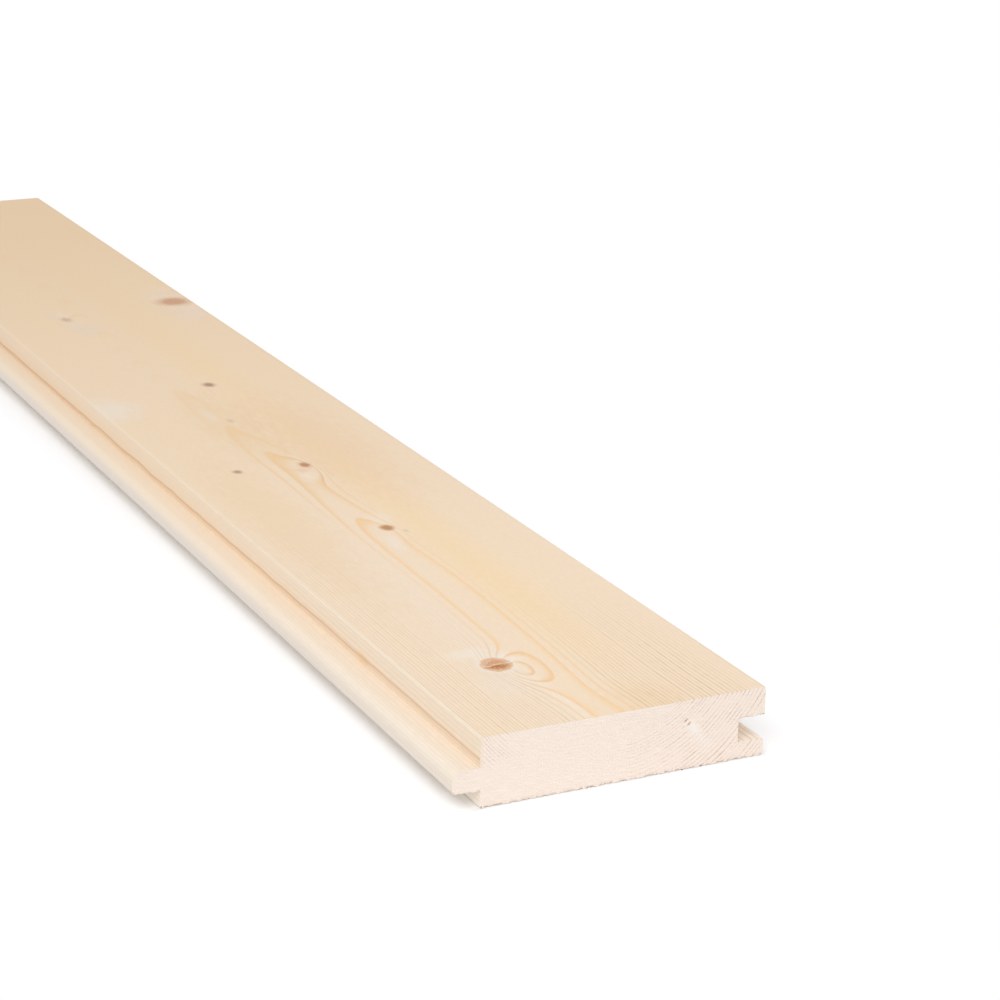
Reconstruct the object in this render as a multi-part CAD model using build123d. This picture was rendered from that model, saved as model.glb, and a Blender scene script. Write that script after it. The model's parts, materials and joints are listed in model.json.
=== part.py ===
from build123d import *
import os
from math import radians, tan

# Tongue-and-groove floorboard: one planed softwood board, moulded along both long edges
# and sawn square at both ends. All sizes are in millimetres.
# X runs across the board from the tongue to the groove, Y along it, and Z up from the underside.
# The origin is the middle of the underside of the box round the board.

# Board
length = 900.0
face_width = 110.7  # from the upper shoulder to the upper lip, which is what a laid board covers
thickness = 26.0

# Tongue, and the groove that takes the next board's tongue
tongue_length = 10.3
tongue_thickness = 8.6  # at the root
joint_height = 10.9  # mid-line of tongue and groove, below half way so that more wood lies above it
cheek_taper = 1.0  # degrees, on each cheek of the tongue and of the groove
cheek_clearance = 0.15  # on each cheek of a laid joint
nose_clearance = 0.3  # between the tongue's nose and the groove's wall in a laid joint
lip_relief = 0.3  # the lower lip stands back by this much, so that laid boards close at the face

# Rounded edges
face_arris = 0.5  # both long edges of the walked-on face
upper_nose_radius = 3.6
lower_nose_radius = 1.6
lower_shoulder_arris = 1.2
lower_lip_arris = 1.8
mouth_arris = 0.5  # both lips, at the mouth of the groove
groove_corner_radius = 0.6
largest_share_of_wall = 0.45  # a rounding takes at most this share of a wall beside it

# Places across the section
nose_x = -(tongue_length + face_width) / 2
shoulder_x = nose_x + tongue_length
upper_lip_x = shoulder_x + face_width
lower_lip_x = upper_lip_x - lip_relief
groove_depth = tongue_length + nose_clearance
groove_wall_x = upper_lip_x - groove_depth

# Heights of the cheeks, from the joint's mid-line
narrowing = tan(radians(cheek_taper))
tongue_root_half = tongue_thickness / 2
tongue_nose_half = tongue_root_half - tongue_length * narrowing
groove_mouth_half = tongue_root_half + cheek_clearance
groove_lower_mouth_half = groove_mouth_half - lip_relief * narrowing
groove_wall_half = groove_mouth_half - groove_depth * narrowing

# Walls that limit the roundings
upper_shoulder_height = thickness - joint_height - tongue_root_half
lower_shoulder_height = joint_height - tongue_root_half
upper_lip_height = thickness - joint_height - groove_mouth_half
lower_lip_height = joint_height - groove_lower_mouth_half


def rounded(radius, *walls):
    """A corner's radius, held within the shorter of the walls beside it."""
    return min(radius, largest_share_of_wall * min(walls))


def tongue_corners():
    """Corners (x, z, radius) of the tongue's edge, from the underside up to the face."""
    nose_height = 2 * tongue_nose_half
    return [
        (shoulder_x, 0, rounded(lower_shoulder_arris, lower_shoulder_height)),
        (shoulder_x, joint_height - tongue_root_half, 0),
        (nose_x, joint_height - tongue_nose_half, rounded(lower_nose_radius, nose_height, tongue_length)),
        (nose_x, joint_height + tongue_nose_half, rounded(upper_nose_radius, nose_height, tongue_length)),
        (shoulder_x, joint_height + tongue_root_half, 0),
        (shoulder_x, thickness, rounded(face_arris, upper_shoulder_height)),
    ]


def groove_corners():
    """Corners (x, z, radius) of the groove's edge, from the face down to the underside."""
    upper_mouth = rounded(mouth_arris, upper_lip_height, groove_depth)
    lower_mouth = rounded(mouth_arris, lower_lip_height, groove_depth - lip_relief)
    groove_corner = rounded(groove_corner_radius, 2 * groove_wall_half, groove_depth)
    return [
        (upper_lip_x, thickness, rounded(face_arris, upper_lip_height)),
        (upper_lip_x, joint_height + groove_mouth_half, upper_mouth),
        (groove_wall_x, joint_height + groove_wall_half, groove_corner),
        (groove_wall_x, joint_height - groove_wall_half, groove_corner),
        (lower_lip_x, joint_height - groove_lower_mouth_half, lower_mouth),
        (lower_lip_x, 0, rounded(lower_lip_arris, lower_lip_height)),
    ]


def floorboard():
    """The moulded section, run along the whole board."""
    corners = tongue_corners() + groove_corners()
    points = [(x, z) for x, z, radius in corners]
    radii = [radius for x, z, radius in corners]
    with BuildPart() as board:
        with BuildSketch(Plane.XZ):
            with BuildLine():
                FilletPolyline(*points, radius=radii, close=True)
            make_face()
        extrude(amount=length / 2, both=True)
    return board.part


os.makedirs("parts", exist_ok=True)
export_step(floorboard(), "parts/floorboard.step")
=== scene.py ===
"""Planed spruce floorboard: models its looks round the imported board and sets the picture.

Lengths are in metres in the mesh and on the stage, and in millimetres inside the board's materials, where
a place is counted across from the tongue's shoulder, along from the near end and up from the underside.
"""

import json
import random
from math import cos, pi, radians, sin, tan
from typing import NamedTuple

import bmesh
import bpy
from bpy.props import FloatProperty, FloatVectorProperty, PointerProperty
from mathutils import Matrix, Vector

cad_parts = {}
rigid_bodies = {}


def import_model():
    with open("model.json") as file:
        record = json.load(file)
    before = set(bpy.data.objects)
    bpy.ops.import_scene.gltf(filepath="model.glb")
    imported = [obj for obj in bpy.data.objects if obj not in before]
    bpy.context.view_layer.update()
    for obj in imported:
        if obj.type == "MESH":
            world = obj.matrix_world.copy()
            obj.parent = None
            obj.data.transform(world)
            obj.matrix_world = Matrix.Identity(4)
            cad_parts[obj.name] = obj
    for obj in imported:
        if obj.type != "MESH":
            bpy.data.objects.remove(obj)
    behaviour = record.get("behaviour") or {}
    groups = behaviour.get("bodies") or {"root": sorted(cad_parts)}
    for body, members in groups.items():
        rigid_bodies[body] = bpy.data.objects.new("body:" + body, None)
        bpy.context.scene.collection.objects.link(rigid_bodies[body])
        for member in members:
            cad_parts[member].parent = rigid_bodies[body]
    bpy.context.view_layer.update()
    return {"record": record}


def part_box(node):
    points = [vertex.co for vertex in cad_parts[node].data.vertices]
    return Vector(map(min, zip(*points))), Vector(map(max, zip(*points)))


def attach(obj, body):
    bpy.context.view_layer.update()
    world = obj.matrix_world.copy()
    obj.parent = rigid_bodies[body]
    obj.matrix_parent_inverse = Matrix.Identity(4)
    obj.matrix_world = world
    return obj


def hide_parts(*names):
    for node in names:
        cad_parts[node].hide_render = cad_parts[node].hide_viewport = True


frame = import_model()

bl_info = {
    "name": "Spruce floorboard",
    "version": (1, 0, 0),
    "blender": (4, 5, 0),
    "location": "View3D > Sidebar > Floorboard",
    "description": "Models a planed tongue-and-groove spruce floorboard with sawn ends",
    "category": "Object",
}

NODE = "floorboard"
BODY = "root"
MM = 0.001
CLOSE = 1e-6  # places nearer than this are the same


def mount_place(name):
    """Where the record puts one of the board's interfaces."""
    return Vector(next(m["pos_m"] for m in frame["record"]["mounts"] if m["name"] == name))


# The board's box, shoulder and joint line come from the frame
LOW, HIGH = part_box(NODE)
NEAR, FAR = LOW.y, HIGH.y
LENGTH = FAR - NEAR
THICKNESS = HIGH.z - LOW.z
SHOULDER = mount_place("tongue_shoulder").x
JOINT = mount_place("tongue").z


def linear(hex_colour):
    """A linear colour, with alpha, from an sRGB hex value."""
    parts = [int(hex_colour[i:i + 2], 16) / 255 for i in (0, 2, 4)]
    return tuple(c / 12.92 if c <= 0.04045 else ((c + 0.055) / 1.055) ** 2.4 for c in parts) + (1.0,)


def length_property(name, description, millimetres):
    """A size that a user may change, stored in metres."""
    return FloatProperty(name=name, description=description, default=millimetres * MM, min=0.0, unit="LENGTH")


def colour_property(name, description, hex_colour):
    """A colour that a user may change."""
    return FloatVectorProperty(name=name, description=description, default=linear(hex_colour), size=4,
                               min=0.0, max=1.0, subtype="COLOR")


class FloorboardSection(bpy.types.PropertyGroup):
    """Sizes of the moulded section, as the solid has them."""

    tongue_thickness: length_property("Tongue thickness", "Thickness of the tongue at its root", 8.6)
    cheek_taper: FloatProperty(name="Cheek taper", description="Slope of each cheek of tongue and groove",
                               default=radians(1), subtype="ANGLE")
    cheek_clearance: length_property("Cheek clearance", "Room on each cheek of a laid joint", 0.15)
    nose_clearance: length_property("Nose clearance", "Room in front of the tongue in a laid joint", 0.3)
    lip_relief: length_property("Lip relief", "How far the lower lip stands back", 0.3)
    face_arris: length_property("Face arris", "Rounding of the face's long edges", 0.5)
    upper_nose: length_property("Upper nose", "Rounding of the tongue's upper corner", 3.6)
    lower_nose: length_property("Lower nose", "Rounding of the tongue's lower corner", 1.6)
    lower_shoulder_arris: length_property("Lower shoulder arris", "Rounding below the tongue", 1.2)
    lower_lip_arris: length_property("Lower lip arris", "Rounding below the groove", 1.8)
    mouth_arris: length_property("Mouth arris", "Rounding of both lips at the groove's mouth", 0.5)
    groove_corner: length_property("Groove corner", "Rounding inside the groove", 0.6)
    strip_width: length_property("Strip width", "Width of the mesh strips across the board", 0.7)
    station_spacing: length_property("Station spacing", "Spacing of the mesh rings along the board", 25.0)
    torn_depth: length_property("Torn depth", "How high up the saw tore the lower edges of the ends", 0.28)
    fibre_length: length_property("Fibre length", "Length of a torn fibre", 1.2)


class SpruceLooks(bpy.types.PropertyGroup):
    """Growth and colours of the wood."""

    ring_width: length_property("Ring width", "Growth of one year", 0.95)
    earlywood: colour_property("Earlywood", "Pale spring wood of the planed faces", "F7E2CA")
    ripe_wood: colour_property("Ripe wood", "Warmer streak of wood beside the heart", "FADEB5")
    # Warmer tones of wood and figure towards the far end
    far_wood: colour_property("Aged wood", "Warmer tone towards the far end", "F0D3AE")
    figure: colour_property("Figure", "Wide summer wood where the face runs along a ring", "FAD6A8")
    far_figure: colour_property("Aged figure", "The same towards the far end", "F2CD9B")
    latewood: colour_property("Latewood", "Thin summer lines of the straight grain", "C39E74")
    strained: colour_property("Strained latewood", "Summer lines that bend round a knot", "D2A078")
    # Paler wood of the tongue, partly as painted light, and painted light on the shaded face below the tongue
    pale_and_lit_wood: colour_property("Fresh wood", "Paler wood of the tongue", "F7ECDD")
    # Painted light: almost white wood that lightens the groove's shaded inside
    groove_painted_light: colour_property("Groove wood", "Warmer wood inside the groove", "FFF5E8")
    pale_wood: colour_property("Pale wood", "Disturbed grain beside the knots", "F6E9DB")
    # Painted shade that greys the tongue's nose
    nose_painted_shade: colour_property("Worn nose", "Greyer wood of the tongue's handled nose", "ECE1D7")
    # Painted highlight along the face's arris above the tongue
    arris_painted_highlight: colour_property("Bright arris", "Cut edge of the face above the tongue", "FBEFDF")
    # Orange-brown band drawn low on the shoulder beside the tongue's root, and the colour of the groove's
    # lines
    root_brown: colour_property("Root brown", "Resinous rings beside the tongue's root", "CF9A62")
    end_earlywood: colour_property("End earlywood", "Spring wood of the sawn ends", "FBECDF")
    end_latewood: colour_property("End latewood", "Summer wood of the sawn ends", "B89380")
    branch_trace: colour_property("Branch trace", "Heart of a small branch in the sawn ends", "C4855C")
    fibre: colour_property("Torn fibre", "Fibres that the saw tore", "FCF4EC")


class StageLooks(bpy.types.PropertyGroup):
    """Light, floor and camera of the picture."""

    floor: colour_property("Floor", "Pale floor under the board", "F5F6F8")
    sky: FloatProperty(name="Sky", description="Strength of the light from all round", default=0.72)
    key: FloatProperty(name="Key", description="Strength of the soft light above the near end, in watts",
                       default=16.0)
    lens: FloatProperty(name="Lens", description="Focal length on a 36 mm sensor, in millimetres",
                        default=93.93)


# Growth of the tree, in millimetres across, along and up

class Knot(NamedTuple):
    """A branch cut by the face: its place, its size, and what it does to the wood round it."""

    across: float
    along: float
    width: float  # across the board
    length: float  # along the board
    swell: float  # how far the rings rise beside it
    swell_shift: tuple  # from the knot to the middle of that rise
    swell_reach: tuple  # across and along
    heart: str  # colour of its middle
    beyond: str  # colour of its half beyond the crack
    rim: str  # colour of its edge
    stain: float  # how strongly it shows
    soft: float  # how gradually it fades into the wood
    halo: float  # how pale the grain beside it is
    check: float  # how open the crack across it is


KNOTS = (
    Knot(32.9, 56.6, 12.2, 13.2, 3.55, (3.4, -6.4), (8.5, 16.5),
         "BE7630", "D89E74", "E6BE98", 1.0, 0.2, 0.3, 0.9),
    Knot(56.9, 210.0, 6.2, 8.0, 0.55, (0.0, -4.0), (6.5, 14.0),
         "BA8247", "BA8247", "DDB38A", 0.9, 0.7, 0.25, 0.0),
    Knot(57.5, 302.5, 5.6, 9.0, 1.65, (1.0, -5.0), (5.6, 18.5),
         "BA8158", "BA8158", "E4B994", 0.9, 1.1, 0.25, 0.0),
    Knot(26.8, 304.5, 4.6, 5.6, 0.5, (0.0, -2.0), (4.0, 9.0),
         "AC8864", "AC8864", "D6B792", 0.8, 1.1, 0.2, 0.0),
    Knot(50.8, 379.0, 3.0, 8.0, 0.2, (0.0, -2.0), (5.0, 8.0),
         "D8B18E", "D8B18E", "E2C09C", 0.5, 1.2, 0.2, 0.0),
    Knot(62.4, 441.0, 6.2, 8.0, 0.8, (-1.5, -4.0), (5.0, 12.0),
         "A58064", "A58064", "CDA885", 0.85, 1.1, 0.2, 0.0),
    Knot(35.5, 589.5, 6.0, 11.0, 0.9, (1.0, -4.0), (8.0, 14.0),
         "C6A07E", "C6A07E", "DDC09C", 0.6, 1.3, 0.3, 0.0),
    Knot(101.0, 605.5, 19.0, 19.0, 2.0, (-3.0, -5.0), (10.0, 22.0),
         "C98F6C", "C98F6C", "DDB492", 0.8, 0.9, 0.3, 0.0),
)


class Patch(NamedTuple):
    """A soft patch of other wood, most of them where the plane met disturbed grain."""

    across: float
    along: float
    up: float
    width: float
    length: float
    colour: str
    strength: float


PATCHES = (
    Patch(78.0, 330.0, 26.0, 60.0, 240.0, "F0CDA6", 0.4),
    Patch(48.0, 368.0, 26.0, 44.0, 170.0, "EFCFA3", 0.5),
    Patch(66.0, 4.0, 26.0, 40.0, 50.0, "F2D4AA", 0.5),
    Patch(20.0, 230.0, 26.0, 44.0, 300.0, "F0D3AC", 0.45),
    Patch(26.0, 37.0, 26.0, 22.0, 34.0, "F7E9D9", 0.4),
    Patch(27.0, 69.5, 26.0, 24.0, 15.0, "FAF0E4", 0.5),
    Patch(40.5, 60.0, 26.0, 12.0, 18.0, "F9EEE2", 0.5),
    Patch(40.0, 18.0, 26.0, 7.0, 70.0, "F8ECDF", 0.5),
    Patch(52.5, 192.0, 26.0, 12.0, 26.0, "F6E8D8", 0.55),
    Patch(59.5, 222.0, 26.0, 12.0, 20.0, "F6E8D8", 0.55),
    Patch(62.5, 204.0, 26.0, 3.5, 8.0, "CDB79C", 0.4),
    Patch(51.0, 285.0, 26.0, 12.0, 20.0, "F7E9DB", 0.6),
    Patch(54.0, 296.0, 26.0, 8.0, 10.0, "EBBF9C", 0.45),
    Patch(44.5, 391.0, 26.0, 8.0, 36.0, "F0E2CC", 0.5),
    Patch(5.0, 417.0, 26.0, 40.0, 52.0, "F3E3D2", 0.8),
    Patch(101.0, 579.0, 26.0, 28.0, 44.0, "EED9C6", 0.6),
    Patch(104.0, 625.0, 26.0, 18.0, 24.0, "ECD2BC", 0.45),
    Patch(39.0, 568.0, 26.0, 22.0, 44.0, "EBD8C2", 0.5),
    Patch(31.0, 601.0, 26.0, 12.0, 22.0, "ECD8C4", 0.45),
    Patch(0.0, 100.0, 17.6, 6.0, 16.0, "F0C888", 0.35),
)
PATCH_DEPTH = 3.0
PITH_SIDE = ((0, 48.9), (8, 48.7), (25, 47.7), (45, 48.5), (60, 49.2), (90, 50.0), (120, 51.2), (150, 51.7),
             (190, 51.2), (240, 50.0), (280, 49.6), (327, 48.7), (370, 46), (437, 44.5), (504, 43.8),
             (540, 45), (900, 43))
PITH_RISE = ((0, 33.47), (25, 33.5), (70, 33.28), (90, 33.18), (140, 33.19), (160, 33.26), (200, 33.58),
             (240, 34.25), (280, 34.7), (327, 34.95), (370, 35.92), (437, 36.8), (472, 37.7), (504, 38.6),
             (540, 39.5), (900, 47.5))
PITH_SCALE = 100.0  # the courses above are drawn on curves of this height
FIRST_RING = 34.0  # radius of the ring that frames the figure on the near half of the face
# From each of these radii on, so many rings more in each millimetre
RING_BENDS = ((37.0, 0.25), (41.0, -0.2), (45.0, -0.2), (50.0, -0.05), (60.0, -0.13))
UNEVEN_FROM = 40.0  # from this radius on the tree grew faster on the groove's side
UNEVEN = 0.1


def pith_at(along):
    """Where the tree's middle passes above this place along the board."""
    def on(course):
        for (a, low), (b, high) in zip(course, course[1:]):
            if along <= b:
                return low + (high - low) * (along - a) / (b - a)
        return course[-1][1]
    return Vector((on(PITH_SIDE), along, THICKNESS / MM + on(PITH_RISE)))


# Mesh helpers

def select(kind, test):
    """Selects the open mesh's verts, edges or faces that pass the test, and nothing else."""
    bpy.context.tool_settings.mesh_select_mode = [kind == k for k in ("verts", "edges", "faces")]
    bpy.ops.mesh.select_all(action="DESELECT")
    data = bpy.context.object.data
    mesh = bmesh.from_edit_mesh(data)
    for item in getattr(mesh, kind):
        if test(item):
            item.select_set(True)
    mesh.select_flush_mode()
    bmesh.update_edit_mesh(data)


def cut(place, normal):
    """Cuts the whole open mesh along a plane."""
    bpy.ops.mesh.select_all(action="SELECT")
    bpy.ops.mesh.bisect(plane_co=place, plane_no=normal, threshold=CLOSE)


def near(a, b):
    """Whether two numbers are the same place."""
    return abs(a - b) < 10 * CLOSE


def section_outline(section):
    """Models the section at the near end as one flat face, and returns its corners (x, z, radius, turn)."""
    narrowing = tan(section.cheek_taper)
    tongue_half = section.tongue_thickness / 2
    tongue_length = SHOULDER - LOW.x
    nose_half = tongue_half - tongue_length * narrowing
    mouth_half = tongue_half + section.cheek_clearance
    groove_depth = tongue_length + section.nose_clearance
    wall_x = HIGH.x - groove_depth
    wall_half = mouth_half - groove_depth * narrowing
    lip_x = HIGH.x - section.lip_relief
    lower_mouth_z = JOINT - mouth_half + section.lip_relief * narrowing

    # A plain rectangle of the face's width, cut at the heights of tongue and groove
    middle = (SHOULDER + HIGH.x) / 2
    centre = (middle, NEAR, LOW.z + THICKNESS / 2)
    bpy.ops.mesh.primitive_plane_add(size=1, location=centre, rotation=(pi / 2, 0, 0))
    board = bpy.context.object
    board.scale = (HIGH.x - SHOULDER, THICKNESS, 1)
    bpy.ops.object.transform_apply(location=True, rotation=True, scale=True)
    bpy.ops.object.mode_set(mode="EDIT")
    cut((middle, NEAR, 0), (1, 0, 0))
    cut((wall_x, NEAR, 0), (1, 0, 0))
    for z in (JOINT - tongue_half, JOINT + tongue_half):
        select("faces", lambda f: f.calc_center_median().x < middle)
        bpy.ops.mesh.bisect(plane_co=(0, NEAR, z), plane_no=(0, 0, 1), threshold=CLOSE)
    for z in (JOINT - mouth_half, JOINT + mouth_half):
        select("faces", lambda f: f.calc_center_median().x > middle)
        bpy.ops.mesh.bisect(plane_co=(0, NEAR, z), plane_no=(0, 0, 1), threshold=CLOSE)

    # The tongue is drawn out of the left edge and narrowed
    select("edges", lambda e: all(near(v.co.x, SHOULDER) and abs(v.co.z - JOINT) < tongue_half + CLOSE
                                  for v in e.verts))
    bpy.ops.mesh.extrude_edges_move(TRANSFORM_OT_translate={"value": (-tongue_length, 0, 0)})
    bpy.ops.transform.resize(value=(1, 1, nose_half / tongue_half), center_override=(LOW.x, NEAR, JOINT))

    # The groove is taken out of the right edge, narrowed, and its lower lip set back
    select("faces", lambda f: f.calc_center_median().x > wall_x
           and abs(f.calc_center_median().z - JOINT) < mouth_half)
    bpy.ops.mesh.delete(type="FACE")
    select("verts", lambda v: near(v.co.x, wall_x) and abs(v.co.z - JOINT) < mouth_half + CLOSE)
    bpy.ops.transform.resize(value=(1, 1, wall_half / mouth_half), center_override=(wall_x, NEAR, JOINT))
    select("verts", lambda v: near(v.co.x, HIGH.x) and v.co.z < JOINT)
    bpy.ops.transform.translate(value=(-section.lip_relief, 0, 0))
    select("verts", lambda v: near(v.co.x, lip_x) and near(v.co.z, JOINT - mouth_half))
    bpy.ops.transform.translate(value=(0, 0, section.lip_relief * narrowing))
    bpy.ops.mesh.select_all(action="SELECT")
    bpy.ops.mesh.dissolve_limited(angle_limit=radians(0.2))

    square, tapered = pi / 2, pi / 2 - section.cheek_taper
    return board, (
        (SHOULDER, LOW.z, section.lower_shoulder_arris, square),
        (LOW.x, JOINT - nose_half, section.lower_nose, tapered),
        (LOW.x, JOINT + nose_half, section.upper_nose, tapered),
        (SHOULDER, HIGH.z, section.face_arris, square),
        (HIGH.x, HIGH.z, section.face_arris, square),
        (HIGH.x, JOINT + mouth_half, section.mouth_arris, tapered),
        (wall_x, JOINT + wall_half, section.groove_corner, tapered),
        (wall_x, JOINT - wall_half, section.groove_corner, tapered),
        (lip_x, lower_mouth_z, section.mouth_arris, tapered),
        (lip_x, LOW.z, section.lower_lip_arris, square),
    )


def round_corners(corners):
    """Rounds the section's corners, each to its radius, with a segment about every 12 degrees."""
    for x, z, radius, turn in corners:
        select("verts", lambda v: near(v.co.x, x) and near(v.co.z, z))
        segments = max(3, round(8 * min(1.0, radius / (1.2 * MM))))
        bpy.ops.mesh.bevel(offset=radius * tan(turn / 2), offset_type="OFFSET", segments=segments,
                           profile=0.5, affect="VERTICES", clamp_overlap=False)


def divide_section(section):
    """Divides the section into small faces, fine enough for what the saw tore from its lower edges."""
    strips = round((HIGH.x - LOW.x) / section.strip_width)
    rows = round(THICKNESS / MM)
    planes = [((LOW.x + (HIGH.x - LOW.x) * i / strips, 0, 0), (1, 0, 0)) for i in range(1, strips)]
    planes += [((0, 0, LOW.z + THICKNESS * i / rows), (0, 0, 1)) for i in range(1, rows)]
    planes.append(((0, 0, LOW.z + section.torn_depth), (0, 0, 1)))
    for place, normal in planes:
        bpy.ops.mesh.select_all(action="SELECT")
        bpy.ops.mesh.bisect(plane_co=place, plane_no=normal, threshold=GRID_SNAP)


def outline_walk():
    """How far round the section each point of its outline lies, and the whole way round."""
    mesh = bmesh.from_edit_mesh(bpy.context.object.data)
    rim = [v for v in mesh.verts if v.is_boundary]
    here = min(rim, key=lambda v: (round(v.co.z, 6), v.co.x))
    first, came, gone, walk = here, None, 0.0, {}
    while True:
        walk[spot(here.co)] = gone
        edge = next(e for e in here.link_edges if e.is_boundary and e is not came)
        gone += edge.calc_length()
        here, came = edge.other_vert(here), edge
        if here is first:
            return walk, gone


def spot(place):
    """A point of the section, as a key that all its copies along the board share."""
    return round(place.x / CLOSE / 10), round(place.z / CLOSE / 10)


def run_along(section):
    """Draws the section out along the board and divides it into stations, closer near the sawn ends."""
    bpy.ops.mesh.select_all(action="SELECT")
    bpy.ops.mesh.extrude_region_move(TRANSFORM_OT_translate={"value": (0, LENGTH, 0)})
    bpy.ops.mesh.select_all(action="SELECT")
    bpy.ops.mesh.normals_make_consistent(inside=False)
    spans = round(LENGTH / section.station_spacing)
    stations = [NEAR + LENGTH * i / spans for i in range(1, spans)]
    for step in END_STATIONS:
        stations += [NEAR + step * MM, FAR - step * MM]
    for y in stations:
        cut((0, y, 0), (0, 1, 0))


def is_end(face):
    """Whether a face belongs to one of the sawn ends."""
    y = face.calc_center_median().y
    return abs(face.normal.y) > 0.9 and (near(y, NEAR) or near(y, FAR))


def lay_out_texture(walk, around):
    """Lays the long faces out as one sheet, end to end along U, with the two sawn ends beside it."""
    mesh = bmesh.from_edit_mesh(bpy.context.object.data)
    layer = mesh.loops.layers.uv.new("OFBake")
    margin, sheet, column = 0.004, 0.89, 0.09
    for face in mesh.faces:
        if is_end(face):
            base = margin if near(face.calc_center_median().y, NEAR) else 0.5 + margin
            for loop in face.loops:
                across = (loop.vert.co.x - LOW.x) / (HIGH.x - LOW.x)
                up = (loop.vert.co.z - LOW.z) / THICKNESS
                loop[layer].uv = (1 - margin - column * up, base + (0.5 - 2 * margin) * across)
            continue
        ways = [walk[spot(loop.vert.co)] for loop in face.loops]
        if max(ways) - min(ways) > around / 2:
            ways = [way + around if way < around / 2 else way for way in ways]
        for loop, way in zip(face.loops, ways):
            u = margin + (sheet - 2 * margin) * (loop.vert.co.y - NEAR) / LENGTH
            loop[layer].uv = (u, margin + (1 - 2 * margin) * way / around)
    bmesh.update_edit_mesh(bpy.context.object.data)


def tear_lower_edges(section):
    """Tears the edges that the saw left last, where faces look down, into a ragged slit at both ends."""
    def looks_down(vert):
        return any(f.normal.z < -0.7 for f in vert.link_faces)
    rows = {
        "above": lambda v: near(v.co.z, LOW.z + section.torn_depth),
        "foot": lambda v: v.co.z < LOW.z + 2 * section.torn_depth and looks_down(v),
        "joint": lambda v: v.co.z > LOW.z + 2 * section.torn_depth and looks_down(v),
    }
    for end, inward in ((NEAR, 1), (FAR, -1)):
        for row, seed, kept, depth, lift in TEARS:
            select("verts", lambda v: near(v.co.y, end) and rows[row](v))
            bpy.ops.mesh.select_random(ratio=kept, seed=seed, action="DESELECT")
            value = (0, inward * depth * section.torn_depth, lift * section.torn_depth)
            bpy.ops.transform.translate(value=value)


GRID_SNAP = 0.05 * MM  # a dividing plane this close to a point goes through it
END_STATIONS = (4.0, 10.0)  # mm from each sawn end
TEARS = (  # row, seed, share left whole, and how far inwards and up, as shares of the torn depth
    ("above", 5, 0.6, 0.0, -0.5),
    ("above", 17, 0.75, 0.0, 0.5),
    ("foot", 3, 0.1, 4.5, 0.1),
    ("foot", 11, 0.5, 2.0, 0.1),
    ("joint", 23, 0.3, 3.0, 0.4),
)


# Torn fibres

def model_sliver(section):
    """Models one torn fibre at the origin: a flat blade along Y that narrows and droops towards its tip."""
    bpy.ops.mesh.primitive_cube_add(size=1, location=(0, 0, 0))
    sliver = bpy.context.object
    sliver.scale = (FIBRE_WIDTH, section.fibre_length, FIBRE_THICKNESS)
    bpy.ops.object.transform_apply(location=True, rotation=True, scale=True)
    bpy.ops.object.mode_set(mode="EDIT")
    tip = -section.fibre_length / 2
    for share in (0.35, 0.7):
        cut((0, tip * (2 * share - 1), 0), (0, 1, 0))
    for share, narrow, droop in ((0.35, 0.8, 0.0), (0.7, 0.6, 0.2), (1.0, 0.15, 0.7)):
        at = tip * (2 * share - 1)
        select("verts", lambda v: near(v.co.y, at))
        bpy.ops.transform.resize(value=(narrow, 1, narrow), center_override=(0, at, 0))
        bpy.ops.transform.translate(value=(0, 0, -droop * FIBRE_THICKNESS))
    bpy.ops.object.mode_set(mode="OBJECT")
    return sliver


def fibre_places(section, draw):
    """Where torn fibres hang at one end: (x, z) along the underside and under the tongue."""
    underside = [draw.uniform(SHOULDER + 2 * MM, HIGH.x - 3 * MM) for i in range(FIBRES_BELOW)]
    tongue = [draw.uniform(LOW.x + 2 * MM, SHOULDER - MM) for i in range(FIBRES_UNDER_TONGUE)]
    cheek = JOINT - section.tongue_thickness / 2
    places = [(x, LOW.z + section.torn_depth * draw.uniform(0.55, 0.85)) for x in underside]
    slope = tan(section.cheek_taper)
    places += [(x, cheek + (SHOULDER - x) * slope - draw.uniform(0, 0.2) * MM) for x in tongue]
    return places


FIBRE_WIDTH = 0.32 * MM
FIBRE_THICKNESS = 0.1 * MM
FIBRES_BELOW = 90
FIBRES_UNDER_TONGUE = 14
FIBRE_SEED = 7


# Materials

def add(tree, kind, links=None, points=None, **settings):
    """Adds a node, with its settings, the points of its curve, and links or values for its inputs."""
    node = tree.nodes.new(kind if kind.startswith("Node") else "ShaderNode" + kind)
    for name, value in settings.items():
        setattr(node, name, value)
    if points:
        curve = node.mapping.curves[0]
        for place in points[1:-1]:
            curve.points.new(*place)
        curve.points[0].location, curve.points[-1].location = points[0], points[-1]
        node.mapping.update()
    for name, value in (links or {}).items():
        if isinstance(value, bpy.types.NodeSocket):
            tree.links.new(value, node.inputs[name])
        else:
            node.inputs[name].default_value = value
    return next((s for s in node.outputs if s.enabled), node)


def new_material(name):
    """An empty material and its node tree."""
    material = bpy.data.materials.new(name)
    material.use_nodes = True
    material.node_tree.nodes.clear()
    return material, material.node_tree


def new_group(name, inputs, outputs):
    """An empty node group with these sockets, its input node and its tree."""
    tree = bpy.data.node_groups.new(name, "ShaderNodeTree")
    for side, sockets in (("INPUT", inputs), ("OUTPUT", outputs)):
        for label, kind in sockets.items():
            tree.interface.new_socket(label, in_out=side, socket_type="NodeSocket" + kind)
    return tree, add(tree, "NodeGroupInput").node.outputs


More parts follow.
